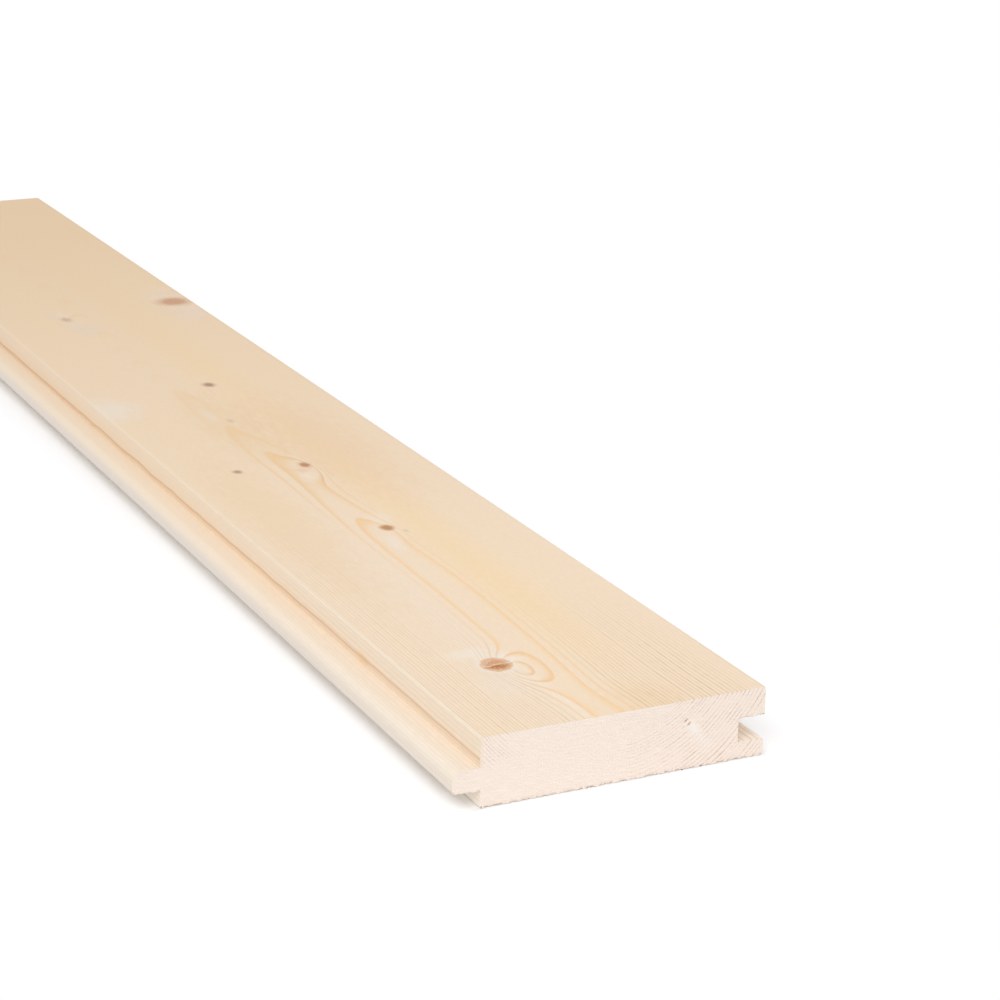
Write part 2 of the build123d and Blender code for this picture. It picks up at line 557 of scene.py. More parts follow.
def branch_group():
    """A branch that leans out from the pith: how far it lifts the rings, and where a point lies across it."""
    inputs = dict.fromkeys(("Place", "Heart", "Lean", "Size", "Shift", "Reach"), "Vector")
    inputs["Swell"] = "Float"
    tree, given = new_group("branch", inputs, {"Swell": "Float", "Round": "Float", "Off": "Vector"})
    off = add(tree, "VectorMath", {0: given["Place"], 1: given["Heart"]}, operation="SUBTRACT")
    depth = add(tree, "SeparateXYZ", {0: off}).node.outputs["Z"]
    leaned = add(tree, "VectorMath", {0: given["Lean"], "Scale": depth}, operation="SCALE")
    off = add(tree, "VectorMath", {0: off, 1: leaned}, operation="SUBTRACT")
    share = add(tree, "VectorMath", {0: off, 1: given["Size"]}, operation="DIVIDE")
    share = add(tree, "VectorMath", {0: share, 1: (1, 1, 0)}, operation="MULTIPLY")
    ring = add(tree, "VectorMath", {0: share}, operation="LENGTH").node.outputs["Value"]
    away = add(tree, "VectorMath", {0: off, 1: given["Shift"]}, operation="SUBTRACT")
    away = add(tree, "VectorMath", {0: away, 1: given["Reach"]}, operation="DIVIDE")
    away = add(tree, "VectorMath", {0: away, 1: (-1, -1, 0)}, operation="MULTIPLY")
    fall = add(tree, "VectorMath", {0: away, 1: away}, operation="DOT_PRODUCT").node.outputs["Value"]
    fall = add(tree, "Math", {0: fall, 1: -1.0}, operation="MULTIPLY")
    fall = add(tree, "Math", {0: fall}, operation="EXPONENT")
    swell = add(tree, "Math", {0: fall, 1: given["Swell"]}, operation="MULTIPLY")
    add(tree, "NodeGroupOutput", {"Swell": swell, "Round": ring, "Off": off})
    return tree


def knot_group():
    """A knot's face laid over the wood: its pale surroundings, its stained body and the crack across it."""
    inputs = dict.fromkeys(("Wood", "Heart", "Beyond", "Rim", "Pale"), "Color")
    inputs |= dict.fromkeys(("Off", "Place", "Spread"), "Vector")
    inputs |= dict.fromkeys(("Round", "Stain", "Soft", "Halo", "Check"), "Float")
    tree, given = new_group("knot", inputs, {"Wood": "Color"})
    # Pale grain before and after the knot, softened by cloudy noise
    spread = add(tree, "VectorMath", {0: given["Off"], 1: given["Spread"]}, operation="DIVIDE")
    spread = add(tree, "VectorMath", {0: spread, 1: (1, 1, 0)}, operation="MULTIPLY")
    far = add(tree, "VectorMath", {0: spread}, operation="LENGTH").node.outputs["Value"]
    cloud = add(tree, "TexNoise", {"Vector": given["Place"], "Scale": 1 / 9.0, "Detail": 2.0})
    far = add(tree, "Math", {0: cloud, 1: 0.9, 2: far}, operation="MULTIPLY_ADD")
    halo = add(tree, "MapRange", {"Value": far, 1: 0.5, 2: 1.55, 3: 1.0, 4: 0.0},
               interpolation_type="SMOOTHSTEP")
    halo = add(tree, "Math", {0: halo, 1: given["Halo"]}, operation="MULTIPLY")
    wood = add(tree, "Mix", {0: halo, 6: given["Wood"], 7: given["Pale"]}, data_type="RGBA")
    # The knot itself, darker towards its middle, with a wavering edge
    waver = add(tree, "TexNoise", {"Vector": given["Place"], "Scale": 1 / 2.5, "Detail": 3.0})
    edge = add(tree, "Math", {0: waver, 1: 0.4, 2: given["Round"]}, operation="MULTIPLY_ADD")
    edge = add(tree, "Math", {0: edge, 1: 1.2}, operation="SUBTRACT")
    collar = add(tree, "MapRange", {"Value": edge, 1: 0.0, 2: 0.4, 3: 0.8, 4: 0.0})
    collar = add(tree, "Math", {0: collar, 1: given["Check"]}, operation="MULTIPLY")
    wood = add(tree, "Mix", {0: collar, 6: wood, 7: given["Pale"]}, data_type="RGBA")
    body = add(tree, "Math", {0: edge, 1: given["Soft"]}, operation="DIVIDE")
    body = add(tree, "MapRange", {"Value": body, 1: -0.5, 2: 0.5, 3: 1.0, 4: 0.0},
               interpolation_type="SMOOTHSTEP")
    middle = add(tree, "MapRange", {"Value": edge, 1: -0.6, 2: 0.0, 3: 1.0, 4: 0.0},
                 interpolation_type="SMOOTHSTEP")
    along = add(tree, "SeparateXYZ", {0: given["Off"]}).node.outputs["Y"]
    half = add(tree, "MapRange", {"Value": along, 1: -0.6, 2: 0.6})
    heart = add(tree, "Mix", {0: half, 6: given["Heart"], 7: given["Beyond"]}, data_type="RGBA")
    stain = add(tree, "Mix", {0: middle, 6: given["Rim"], 7: heart}, data_type="RGBA")
    # Resin flecks in the knot
    flecks = add(tree, "TexNoise", {"Vector": given["Place"], "Scale": 1 / 0.8, "Detail": 2.0})
    flecks = add(tree, "MapRange", {"Value": flecks, 1: 0.5, 2: 0.75, 3: 0.0, 4: 0.6})
    flecks = add(tree, "Math", {0: flecks, 1: given["Check"]}, operation="MULTIPLY")
    stain = add(tree, "Mix", {0: flecks, 6: stain, 7: given["Pale"]}, data_type="RGBA")
    body = add(tree, "Math", {0: body, 1: given["Stain"]}, operation="MULTIPLY")
    wood = add(tree, "Mix", {0: body, 6: wood, 7: stain}, data_type="RGBA")
    # A pale drying crack across the knot
    wander = add(tree, "Math", {0: waver, 1: 3.0, 2: along}, operation="MULTIPLY_ADD")
    wander = add(tree, "Math", {0: wander, 1: 1.5}, operation="SUBTRACT")
    gap = add(tree, "Math", {0: wander}, operation="ABSOLUTE")
    crack = add(tree, "MapRange", {"Value": gap, 1: 0.15, 2: 0.9, 3: 0.9, 4: 0.0})
    inside = add(tree, "MapRange", {"Value": given["Round"], 1: 0.8, 2: 1.15, 3: 1.0, 4: 0.0})
    crack = add(tree, "Math", {0: crack, 1: inside}, operation="MULTIPLY")
    broken = add(tree, "MapRange", {"Value": flecks, 3: 0.6, 4: 1.2})
    crack = add(tree, "Math", {0: crack, 1: broken}, operation="MULTIPLY")
    crack = add(tree, "Math", {0: crack, 1: given["Check"]}, operation="MULTIPLY")
    wood = add(tree, "Mix", {0: crack, 6: wood, 7: given["Pale"]}, data_type="RGBA")
    add(tree, "NodeGroupOutput", {"Wood": wood})
    return tree


def patch_group():
    """A soft patch of other wood, with a cloudy edge."""
    inputs = dict.fromkeys(("Place", "Middle", "Size"), "Vector")
    inputs |= {"Wood": "Color", "Colour": "Color", "Strength": "Float"}
    tree, given = new_group("patch", inputs, {"Wood": "Color"})
    off = add(tree, "VectorMath", {0: given["Place"], 1: given["Middle"]}, operation="SUBTRACT")
    share = add(tree, "VectorMath", {0: off, 1: given["Size"]}, operation="DIVIDE")
    far = add(tree, "VectorMath", {0: share}, operation="LENGTH").node.outputs["Value"]
    drawn = add(tree, "VectorMath", {0: given["Place"], 1: (1 / 2.5, 1 / 8, 1 / 2.5)}, operation="MULTIPLY")
    cloud = add(tree, "TexNoise", {"Vector": drawn, "Scale": 1.0, "Detail": 2.0})
    far = add(tree, "Math", {0: cloud, 1: 1.1, 2: far}, operation="MULTIPLY_ADD")
    mask = add(tree, "MapRange", {"Value": far, 1: 0.75, 2: 1.6, 3: 1.0, 4: 0.0},
               interpolation_type="SMOOTHSTEP")
    mask = add(tree, "Math", {0: mask, 1: given["Strength"]}, operation="MULTIPLY")
    wood = add(tree, "Mix", {0: mask, 6: given["Wood"], 7: given["Colour"]}, data_type="RGBA")
    add(tree, "NodeGroupOutput", {"Wood": wood})
    return tree


def growth(tree, looks, branch):
    """Adds the tree's growth as a solid: a place in board millimetres, its way sideways from the pith, its
    ring count, how far branches lift the rings there, and each branch."""
    at = add(tree, "TexCoord").node.outputs["Object"]
    origin = (-SHOULDER / MM, -NEAR / MM, -LOW.z / MM)
    place = add(tree, "Mapping", {"Vector": at, "Location": origin, "Scale": (1 / MM,) * 3})
    parts = add(tree, "SeparateXYZ", {0: place}).node.outputs
    share = add(tree, "Math", {0: parts["Y"], 1: MM / LENGTH}, operation="MULTIPLY")
    whole = LENGTH / MM
    side = [(along / whole, value / PITH_SCALE) for along, value in PITH_SIDE]
    rise = [(along / whole, (THICKNESS / MM + value) / PITH_SCALE) for along, value in PITH_RISE]
    side = add(tree, "FloatCurve", {"Value": share}, points=side)
    rise = add(tree, "FloatCurve", {"Value": share}, points=rise)
    # Beside the heart the rings run straighter than the pith
    straight = PITH_SIDE[0][1]
    apart = add(tree, "Math", {0: parts["X"], 1: straight}, operation="SUBTRACT")
    apart = add(tree, "Math", {0: apart}, operation="ABSOLUTE")
    follows = add(tree, "MapRange", {"Value": apart, 1: 9.0, 2: 34.0, 3: 1.0, 4: 0.25})
    side = add(tree, "Math", {0: side, 1: straight / PITH_SCALE}, operation="SUBTRACT")
    side = add(tree, "Math", {0: side, 1: follows, 2: straight / PITH_SCALE}, operation="MULTIPLY_ADD")
    pith = add(tree, "CombineXYZ", {"X": side, "Z": rise})
    pith = add(tree, "VectorMath", {0: pith, "Scale": PITH_SCALE}, operation="SCALE")
    out = add(tree, "VectorMath", {0: place, 1: pith}, operation="SUBTRACT")
    out = add(tree, "VectorMath", {0: out, 1: (1, 0, 1)}, operation="MULTIPLY")
    radius = add(tree, "VectorMath", {0: out}, operation="LENGTH").node.outputs["Value"]
    sideways = add(tree, "SeparateXYZ", {0: out})
    # Away from the heart the rings waver slowly and grow unevenly
    slow = add(tree, "VectorMath", {0: place, 1: (1 / 30, 1 / 260, 1 / 30)}, operation="MULTIPLY")
    waver = add(tree, "TexNoise", {"Vector": slow, "Scale": 1.0, "Detail": 1.0})
    outer = add(tree, "MapRange", {"Value": radius, 1: 37.0, 2: 46.0, 3: 0.0, 4: 1.5},
                interpolation_type="SMOOTHSTEP")
    waver = add(tree, "Math", {0: waver, 1: 0.5}, operation="SUBTRACT")
    radius = add(tree, "Math", {0: waver, 1: outer, 2: radius}, operation="MULTIPLY_ADD")
    branches, lifted = [], 0.0
    for knot in KNOTS:
        heart = Vector((knot.across, knot.along, THICKNESS / MM))
        lean = heart - pith_at(knot.along)
        lean = lean / lean.z
        sockets = add(tree, "Group", {"Place": place, "Heart": heart, "Lean": lean,
                                      "Size": (knot.width / 2, knot.length / 2, 1), "Swell": knot.swell,
                                      "Shift": knot.swell_shift + (0,), "Reach": knot.swell_reach + (1,)},
                      node_tree=branch).node.outputs
        lifted = add(tree, "Math", {0: sockets["Swell"], 1: lifted}, operation="ADD")
        branches.append((knot, sockets))
    radius = add(tree, "Math", {0: radius, 1: lifted}, operation="SUBTRACT")
    rings = add(tree, "Math", {0: radius, 1: FIRST_RING}, operation="SUBTRACT")
    rings = add(tree, "Math", {0: rings, 1: MM / looks.ring_width}, operation="MULTIPLY")
    lopsided = add(tree, "MapRange", {"Value": sideways, 1: -10.0, 2: 10.0, 3: UNEVEN, 4: -UNEVEN})
    for start, more in RING_BENDS + ((UNEVEN_FROM, lopsided),):
        past = add(tree, "Math", {0: radius, 1: start}, operation="SUBTRACT")
        past = add(tree, "Math", {0: past, 1: 0.0}, operation="MAXIMUM")
        rings = add(tree, "Math", {0: past, 1: more, 2: rings}, operation="MULTIPLY_ADD")
    uneven = add(tree, "TexNoise", {"W": rings, "Scale": 0.23, "Detail": 1.0}, noise_dimensions="1D")
    uneven = add(tree, "Math", {0: uneven, 1: 0.5}, operation="SUBTRACT")
    rings = add(tree, "Math", {0: uneven, 1: outer, 2: rings}, operation="MULTIPLY_ADD")
    return place, sideways, rings, lifted, branches


# A year's shade from its spring to the next: it deepens through the summer and ends sharply
RING_SHADE = ((0, 0.3), (0.06, 0.03), (0.2, 0.0), (0.4, 0.01), (0.52, 0.09),
              (0.66, 0.36), (0.8, 0.72), (0.93, 1.0), (1, 0.7))


def ring_lines(tree, rings):
    """The year's wide shade, and its thin dark line, which is stronger in some years than in others."""
    year = add(tree, "Math", {0: rings}, operation="FLOOR")
    season = add(tree, "Math", {0: rings}, operation="FRACT")
    shade = add(tree, "FloatCurve", {"Value": season}, points=RING_SHADE)
    luck = add(tree, "TexWhiteNoise", {"W": year}, noise_dimensions="1D")
    luck = add(tree, "MapRange", {"Value": luck, 3: 0.45, 4: 1.0})
    line = add(tree, "Math", {0: shade, 1: 3.0}, operation="POWER")
    older = add(tree, "MapRange", {"Value": year, 1: -1.0, 2: 3.0, 3: 1.0, 4: 0.45})
    shade = add(tree, "Math", {0: shade, 1: older}, operation="MULTIPLY")
    return shade, add(tree, "Math", {0: line, 1: luck}, operation="MULTIPLY")


def zone(tree, parts, *ramps):
    """How much a place belongs to a part of the board: the product of ramps (axis, start, end, from, to)."""
    shares = [add(tree, "MapRange", {"Value": parts[axis], 1: start, 2: end, 3: low, 4: high})
              for axis, start, end, low, high in ramps]
    whole = shares.pop(0)
    for share in shares:
        whole = add(tree, "Math", {0: whole, 1: share}, operation="MULTIPLY")
    return whole


def planed_spruce(looks, branch, knot_face, patch):
    """Planed spruce: almost matt cream, fine straight year lines and a warm flowing figure over the heart."""
    material, tree = new_material("planed spruce")
    place, sideways, rings, lifted, branches = growth(tree, looks, branch)
    parts = add(tree, "SeparateXYZ", {0: place}).node.outputs
    shade, line = ring_lines(tree, rings)
    # Slow drift between cream and riper wood, strongest in a streak beside the heart
    slow = add(tree, "VectorMath", {0: place, 1: (1 / 28, 1 / 240, 1 / 28)}, operation="MULTIPLY")
    drift = add(tree, "TexNoise", {"Vector": slow, "Scale": 1.0, "Detail": 2.0})
    drift = add(tree, "MapRange", {"Value": drift, 1: 0.3, 2: 0.75, 3: 0.0, 4: 0.35})
    streak = add(tree, "Math", {0: parts["X"], 1: 72.0}, operation="SUBTRACT")
    streak = add(tree, "Math", {0: streak}, operation="ABSOLUTE")
    streak = add(tree, "MapRange", {"Value": streak, 1: 0.0, 2: 20.0, 3: 0.7, 4: 0.0},
                 interpolation_type="SMOOTHSTEP")
    begins = add(tree, "MapRange", {"Value": parts["Y"], 1: -20.0, 2: 140.0},
                 interpolation_type="SMOOTHSTEP")
    ripe = add(tree, "Math", {0: streak, 1: begins, 2: drift}, operation="MULTIPLY_ADD")
    wood = add(tree, "Mix", {0: ripe, 6: looks.earlywood, 7: looks.ripe_wood}, data_type="RGBA")
    # Warmer far off; paler on the tongue, partly as wood and partly as painted light; painted light below the
    # tongue and inside the groove, where they lie in shade; painted shade that greys the tongue's nose
    farther = zone(tree, parts, ("Y", 150, 800, 0, 1))
    pale_and_lit = zone(tree, parts, ("X", -2, 2, 1, 0), ("Y", 20, 180, 0.7, 0.5))
    # Painted light: the shoulder's face below the tongue, which lies in shade, takes the same pale colour
    foot = zone(tree, parts, ("X", 1, 2, 1, 0), ("Z", 7, 8, 1, 0))
    pale_and_lit = add(tree, "Math", {0: pale_and_lit, 1: foot}, operation="MAXIMUM")
    # Painted light: the groove's inside, which lies in shade, is lightened almost to white
    groove = zone(tree, parts, ("X", 98, 99, 0, 0.9), ("Z", 15, 16, 1, 0))
    # Painted shade: the tongue's nose is greyed, more so further along the board
    nose = zone(tree, parts, ("X", -10, -7.5, 1, 0), ("Z", 9.5, 14.2, 1, 0), ("Y", 0, 220, 0.45, 1))
    for share, tone in ((farther, looks.far_wood), (pale_and_lit, looks.pale_and_lit_wood), (groove, looks.groove_painted_light),
                        (nose, looks.nose_painted_shade)):
        wood = add(tree, "Mix", {0: share, 6: wood, 7: tone}, data_type="RGBA")
    for spot_of in PATCHES:
        wood = add(tree, "Group", {"Wood": wood, "Place": place,
                                   "Middle": (spot_of.across, spot_of.along, spot_of.up),
                                   "Size": (spot_of.width / 2, spot_of.length / 2, PATCH_DEPTH),
                                   "Colour": linear(spot_of.colour), "Strength": spot_of.strength},
                   node_tree=patch)
    # The figure over the heart
    beside = add(tree, "Math", {0: sideways}, operation="ABSOLUTE")
    narrows = zone(tree, parts, ("Y", 310, 440, 1, 2.6))
    beside = add(tree, "Math", {0: beside, 1: narrows}, operation="MULTIPLY")
    over = add(tree, "MapRange", {"Value": beside, 1: 8.0, 2: 13.0, 3: 1.0, 4: 0.0},
               interpolation_type="SMOOTHSTEP")
    for share in (over, zone(tree, parts, ("Y", 320, 450, 1, 0.5))):
        shade = add(tree, "Math", {0: shade, 1: share}, operation="MULTIPLY")
    later = zone(tree, parts, ("Y", 180, 280, 0, 1))
    figure = add(tree, "Mix", {0: later, 6: looks.figure, 7: looks.far_figure}, data_type="RGBA")
    wood = add(tree, "Mix", {0: shade, 6: wood, 7: figure}, data_type="RGBA")
    # Thin straight lines beside it, broken by the fibres, that fade along the board
    across = add(tree, "Math", {0: parts["X"], 1: MM / (HIGH.x - SHOULDER)}, operation="MULTIPLY")
    crisp = add(tree, "FloatCurve", {"Value": across}, points=LINE_STRENGTH)
    stays = zone(tree, parts, ("X", 8, 30, 0.75, 0.03), ("Y", 160, 240, 1, 0.25))
    fades = zone(tree, parts, ("Y", 8, 125, 1, stays), ("X", -0.2, 0.6, 0.4, 1))
    hidden = add(tree, "MapRange", {"Value": over, 3: 1.0, 4: 0.1})
    fine = add(tree, "VectorMath", {0: place, 1: (1 / 0.4, 1 / 5, 1 / 0.4)}, operation="MULTIPLY")
    fibre = add(tree, "TexNoise", {"Vector": fine, "Scale": 1.0, "Detail": 3.0})
    broken = add(tree, "MapRange", {"Value": fibre, 1: 0.38, 2: 0.62, 3: 0.55, 4: 1.45})
    thin = line
    for share in (crisp, fades, hidden, broken):
        thin = add(tree, "Math", {0: thin, 1: share}, operation="MULTIPLY")
    # Lines that bend round the knots, and lines in the groove
    strain = add(tree, "MapRange", {"Value": lifted, 1: 0.05, 2: 1.2, 3: 0.0, 4: 0.5})
    strain = add(tree, "Math", {0: strain, 1: line}, operation="MULTIPLY")
    stripe = add(tree, "MapRange", {"Value": groove, 3: 0.0, 4: 0.5})
    stripe = add(tree, "Math", {0: stripe, 1: line}, operation="MULTIPLY")
    # An orange-brown band low on the shoulder beside the tongue's root, and a painted highlight
    # along the face's arris above it
    wave = add(tree, "TexNoise", {"W": parts["Y"], "Scale": 1 / 25, "Detail": 1.0}, noise_dimensions="1D")
    wave = add(tree, "Math", {0: wave, 1: 1.2, 2: parts["Z"]}, operation="MULTIPLY_ADD")
    wave = add(tree, "Math", {0: parts["Y"], 1: 0.0025, 2: wave}, operation="MULTIPLY_ADD")
    height = add(tree, "MapRange", {"Value": wave, 1: ROOT_FOOT, 2: ROOT_TOP})
    root = add(tree, "FloatCurve", {"Value": height}, points=ROOT_BAND)
    beside = zone(tree, parts, ("X", -0.3, 0.1, 0, 1), ("X", 1, 2, 1, 0), ("Y", 60, 160, 0.8, 1))
    root = add(tree, "Math", {0: root, 1: beside}, operation="MULTIPLY")
    # Painted highlight: a pale line along the arris above the tongue, stronger near the near end
    corner = add(tree, "Math", {0: parts["X"], 1: parts["Z"]}, operation="SUBTRACT")
    highlight_strength = zone(tree, parts, ("Y", 100, 300, 0.4, 0.05))
    corner = add(tree, "MapRange", {"Value": corner, 1: -25.66, 2: -25.5, 3: highlight_strength, 4: 0.0})
    for share, tone in ((thin, looks.latewood), (strain, looks.strained), (stripe, looks.root_brown),
                        (root, looks.root_brown), (corner, looks.arris_painted_highlight)):
        wood = add(tree, "Mix", {0: share, 6: wood, 7: tone}, data_type="RGBA")
    for knot, sockets in branches:
        colours = {"Heart": linear(knot.heart), "Beyond": linear(knot.beyond), "Rim": linear(knot.rim)}
        amounts = {"Stain": knot.stain, "Soft": knot.soft, "Halo": knot.halo, "Check": knot.check}
        wood = add(tree, "Group", {"Wood": wood, "Round": sockets["Round"], "Off": sockets["Off"],
                                   "Place": place, "Spread": (knot.width * 0.9, knot.length * 2.2, 1),
                                   "Pale": looks.pale_wood, **colours, **amounts}, node_tree=knot_face)
    # Fibres: fine streaks along the grain
    depth = zone(tree, parts, ("Y", 40, 400, 0.2, 0.08))
    tone = add(tree, "Math", {0: fibre, 1: 0.5}, operation="SUBTRACT")
    tone = add(tree, "Math", {0: tone, 1: depth, 2: 1.0}, operation="MULTIPLY_ADD")
    wood = add(tree, "VectorMath", {0: wood, "Scale": tone}, operation="SCALE")
    relief = add(tree, "Math", {0: fibre, 1: 0.4, 2: line}, operation="MULTIPLY_ADD")
    bump = add(tree, "Bump", {"Strength": 0.3, "Distance": 0.03 * MM, "Height": relief})
    surface = add(tree, "BsdfPrincipled", {"Base Color": wood, "Roughness": 0.6, "Normal": bump,
                                           "Specular IOR Level": 0.25})
    add(tree, "OutputMaterial", {"Surface": surface})
    return material


# How strongly the straight lines show across the face
LINE_STRENGTH = ((0, 0.56), (0.12, 0.56), (0.2, 0.44), (0.3, 0.42), (0.55, 0.5), (0.64, 0.62), (0.73, 0.66),
                 (0.8, 0.85), (0.86, 0.95), (0.9, 0.75), (0.95, 0.34), (1, 0.27))
# Heights between which an orange-brown band shows beside the tongue's root, and how strongly it shows there
ROOT_FOOT, ROOT_TOP = 15.4, 20.4
ROOT_BAND = ((0, 0.0), (0.26, 0.03), (0.34, 0.22), (0.42, 0.16), (0.54, 0.3), (0.63, 0.8), (0.72, 0.4),
              (0.82, 0.1), (1, 0))


def sawn_end_grain(looks, branch):
    """Sawn end grain: matt, almost white with a pink cast, and grey-pink year arcs that the saw half tore."""
    material, tree = new_material("sawn spruce end grain")
    place, _, rings, *_ = growth(tree, looks, branch)
    parts = add(tree, "SeparateXYZ", {0: place}).node.outputs
    _, line = ring_lines(tree, rings)
    # The year arcs are clear towards the groove and in the corner above the tongue, faint between, and patchy
    shown = zone(tree, parts, ("X", 48, 84, 0.1, 0.95))
    corner = zone(tree, parts, ("X", 6, 20, 0.8, 0), ("Z", 13, 20, 0, 1))
    shown = add(tree, "Math", {0: shown, 1: corner}, operation="MAXIMUM")
    cloud = add(tree, "TexNoise", {"Vector": place, "Scale": 1 / 7, "Detail": 2.0})
    patchy = add(tree, "MapRange", {"Value": cloud, 1: 0.38, 2: 0.62, 3: 0.25, 4: 1.1})
    pores = add(tree, "TexNoise", {"Vector": place, "Scale": 1 / 0.55, "Detail": 2.0})
    broken = add(tree, "MapRange", {"Value": pores, 1: 0.35, 2: 0.6, 3: 1.3, 4: 0.3})
    arcs = line
    for share in (shown, patchy, broken):
        arcs = add(tree, "Math", {0: arcs, 1: share}, operation="MULTIPLY")
    wood = add(tree, "Mix", {0: arcs, 6: looks.end_earlywood, 7: looks.end_latewood}, data_type="RGBA")
    # A strip of planed colour beside the tongue's root
    strip = zone(tree, parts, ("X", 0.4, 1.4, 0.6, 0), ("Z", 14.5, 15.5, 0, 1))
    wood = add(tree, "Mix", {0: strip, 6: wood, 7: looks.earlywood}, data_type="RGBA")
    # The heart of a small branch, and the pale wood that it drew after it
    trace = add(tree, "Mapping", {"Vector": place, "Location": TRACE_START, "Rotation": (0, TRACE_TURN, 0)},
                vector_type="TEXTURE")
    trace = add(tree, "SeparateXYZ", {0: trace}).node.outputs
    wide = add(tree, "Math", {0: trace["Z"]}, operation="ABSOLUTE")
    pale = add(tree, "MapRange", {"Value": wide, 1: 0.3, 2: 2.8, 3: 1.0, 4: 0.0},
               interpolation_type="SMOOTHSTEP")
    length = zone(tree, trace, ("X", -2, 2, 0, 0.9), ("X", 4, 17, 1, 0))
    pale = add(tree, "Math", {0: pale, 1: length}, operation="MULTIPLY")
    wood = add(tree, "Mix", {0: pale, 6: wood, 7: looks.fibre}, data_type="RGBA")
    pair = add(tree, "Math", {0: trace["X"], 1: TRACE_GAP / 2}, operation="SUBTRACT")
    pair = add(tree, "Math", {0: pair}, operation="ABSOLUTE")
    pair = add(tree, "Math", {0: pair, 1: TRACE_GAP / 2}, operation="SUBTRACT")
    dot = add(tree, "CombineXYZ", {"X": pair, "Y": trace["Z"]})
    dot = add(tree, "VectorMath", {0: dot, 1: (1 / 0.45, 1 / 1.0, 0)}, operation="MULTIPLY")
    dot = add(tree, "VectorMath", {0: dot}, operation="LENGTH").node.outputs["Value"]
    dot = add(tree, "MapRange", {"Value": dot, 1: 0.3, 2: 1.3, 3: 0.8, 4: 0.0})
    wood = add(tree, "Mix", {0: dot, 6: wood, 7: looks.branch_trace}, data_type="RGBA")
    # Scores along the saw's path, and torn pores, drawn coarser than real ones so that they show
    score = add(tree, "Mapping", {"Vector": place, "Rotation": (0, SAW_TILT, 0), "Scale": (5.0, 1.0, 0.5)},
                vector_type="TEXTURE")
    score = add(tree, "TexNoise", {"Vector": score, "Scale": 1.0, "Detail": 2.0})
    middle = add(tree, "Math", {0: parts["X"], 1: 52.0}, operation="SUBTRACT")
    middle = add(tree, "Math", {0: middle}, operation="ABSOLUTE")
    torn = add(tree, "MapRange", {"Value": middle, 1: 15.0, 2: 40.0, 3: 0.38, 4: 0.24})
    pores = add(tree, "Math", {0: pores, 1: 0.5}, operation="SUBTRACT")
    tone = add(tree, "Math", {0: score, 1: 0.19, 2: 0.9}, operation="MULTIPLY_ADD")
    tone = add(tree, "Math", {0: pores, 1: torn, 2: tone}, operation="MULTIPLY_ADD")
    wood = add(tree, "VectorMath", {0: wood, "Scale": tone}, operation="SCALE")
    relief = add(tree, "Math", {0: score, 1: 0.5, 2: line}, operation="MULTIPLY_ADD")
    relief = add(tree, "Math", {0: pores, 1: 0.6, 2: relief}, operation="MULTIPLY_ADD")
    bump = add(tree, "Bump", {"Strength": 0.4, "Distance": 0.06 * MM, "Height": relief})
    surface = add(tree, "BsdfPrincipled", {"Base Color": wood, "Roughness": 0.8, "Normal": bump,
                                           "Specular IOR Level": 0.2})
    add(tree, "OutputMaterial", {"Surface": surface})
    return material


SAW_TILT = radians(6)
TRACE_START = (78.8, 0.0, 18.6)
TRACE_TURN = radians(48)
TRACE_GAP = 1.9


def torn_fibre(looks):
    """Torn spruce fibre: matt and almost white, with faint streaks along the grain."""
    material, tree = new_material("torn spruce fibre")
    at = add(tree, "TexCoord").node.outputs["Object"]
    grain = (1 / (0.3 * MM), 1 / (2 * MM), 1 / (0.3 * MM))
    fine = add(tree, "VectorMath", {0: at, 1: grain}, operation="MULTIPLY")
    streaks = add(tree, "TexNoise", {"Vector": fine, "Scale": 1.0, "Detail": 2.0})
    tone = add(tree, "MapRange", {"Value": streaks, 1: 0.3, 2: 0.7, 3: 0.94, 4: 1.0})
    wood = add(tree, "VectorMath", {0: looks.fibre[:3], "Scale": tone}, operation="SCALE")
    surface = add(tree, "BsdfPrincipled", {"Base Color": wood, "Roughness": 0.9, "Specular IOR Level": 0.1})
    add(tree, "OutputMaterial", {"Surface": surface})
    return material


# Operators

class FLOORBOARD_OT_board(bpy.types.Operator):
    """Models the board round its solid and gives it its wood"""

    bl_idname = "floorboard.board"
    bl_label = "Board"

    def execute(self, context):
        section, looks = context.scene.floorboard_section, context.scene.floorboard_spruce
        bpy.ops.object.select_all(action="DESELECT")
        board, corners = section_outline(section)
        board.name = board.data.name = "planed_board"
        round_corners(corners)
        divide_section(section)
        walk, around = outline_walk()
        run_along(section)
        lay_out_texture(walk, around)
        branch = branch_group()
        board.data.materials.append(planed_spruce(looks, branch, knot_group(), patch_group()))
        board.data.materials.append(sawn_end_grain(looks, branch))
        select("faces", is_end)
        board.active_material_index = 1
        bpy.ops.object.material_slot_assign()
        tear_lower_edges(section)
        bpy.ops.object.mode_set(mode="OBJECT")
        bpy.ops.object.shade_smooth_by_angle(angle=radians(35))
        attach(board, BODY)
        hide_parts(NODE)
        return {"FINISHED"}


